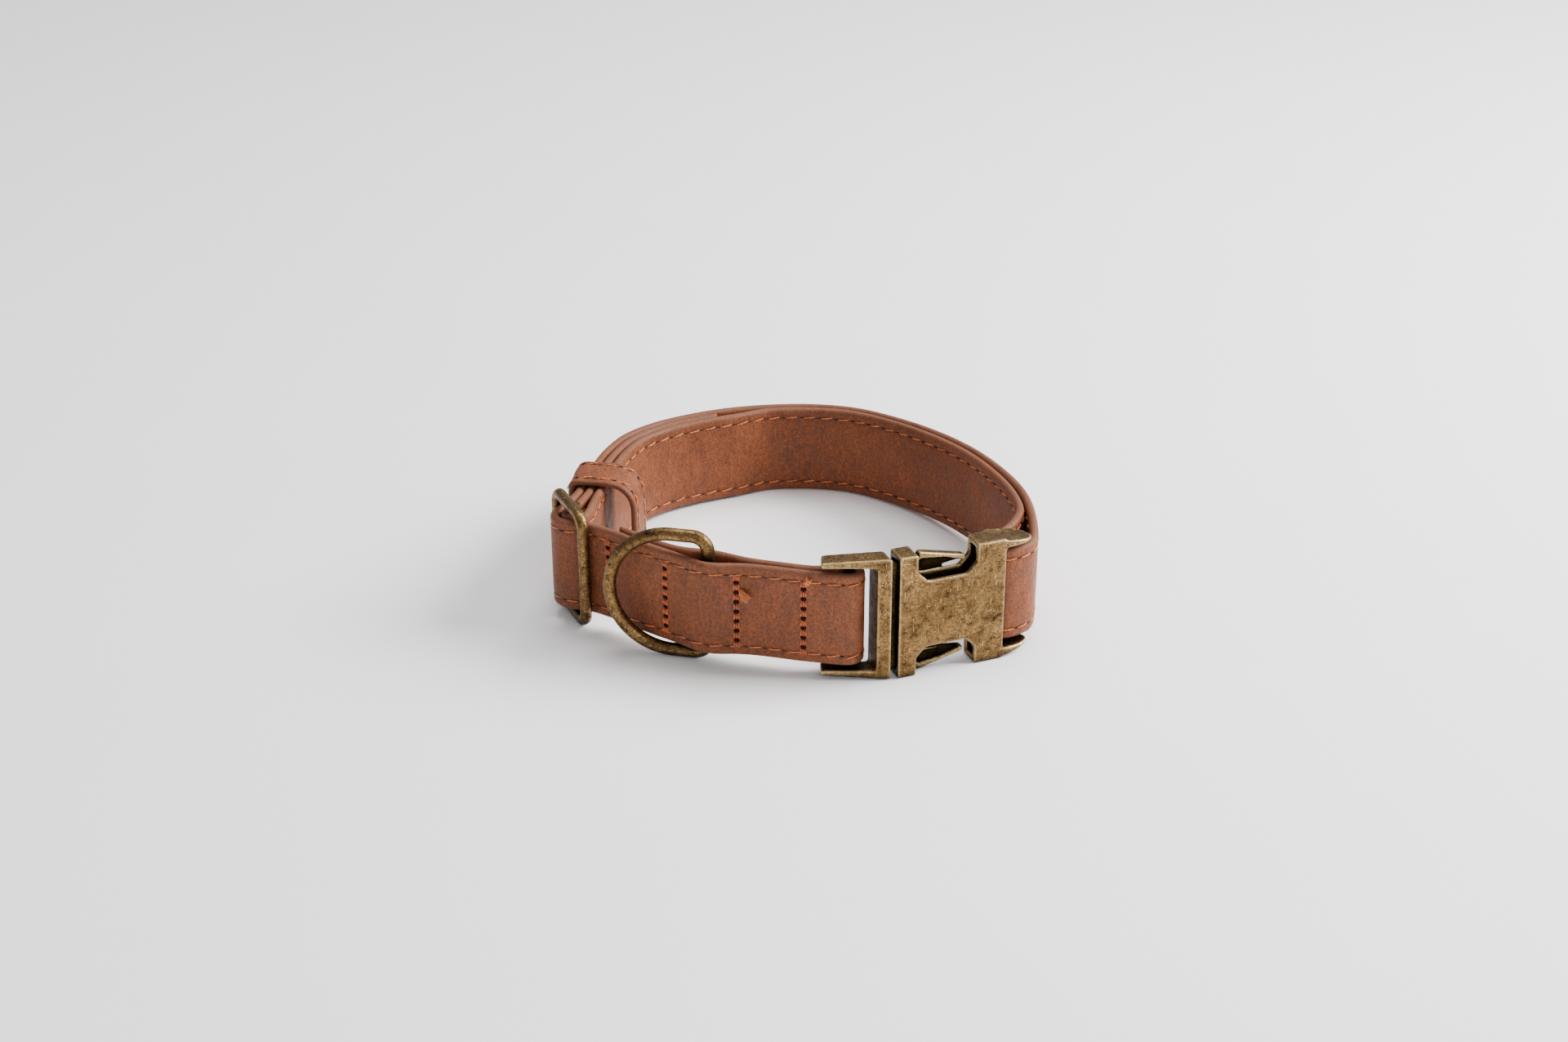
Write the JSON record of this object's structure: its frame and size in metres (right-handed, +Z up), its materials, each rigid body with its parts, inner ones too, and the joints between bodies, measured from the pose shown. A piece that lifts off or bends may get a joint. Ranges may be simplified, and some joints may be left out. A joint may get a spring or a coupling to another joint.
{
  "type": "dog collar",
  "caption": "Brown leather dog collar with a slider, keeper loop, D-ring and a fastened brass side-release buckle.",
  "frame": {"origin": "middle of the collar's outline, on the surface that it stands on", "axes": "+Z up, -Y towards the buckle and the D-ring, +X towards the female half of the buckle"},
  "size_m": [0.1226, 0.1114, 0.0354],
  "materials": {
    "leather": "oiled nubuck with orange stitching",
    "antique_brass": "antiqued, brushed"
  },
  "bodies": {
    "root": {"strap": "leather", "keeper_loop": "leather", "slider": "antique_brass", "buckle_male": "antique_brass", "buckle_female": "antique_brass"},
    "d_ring": {"d_ring": "antique_brass"}
  },
  "joints": [
    {"name": "d_ring_hinge", "type": "hinge", "parent": "root", "child": "d_ring", "pos_m": [-0.02059, -0.04541, 0.0178], "axis": [0, 0, 1], "range_deg": [0, 140]}
  ]
}
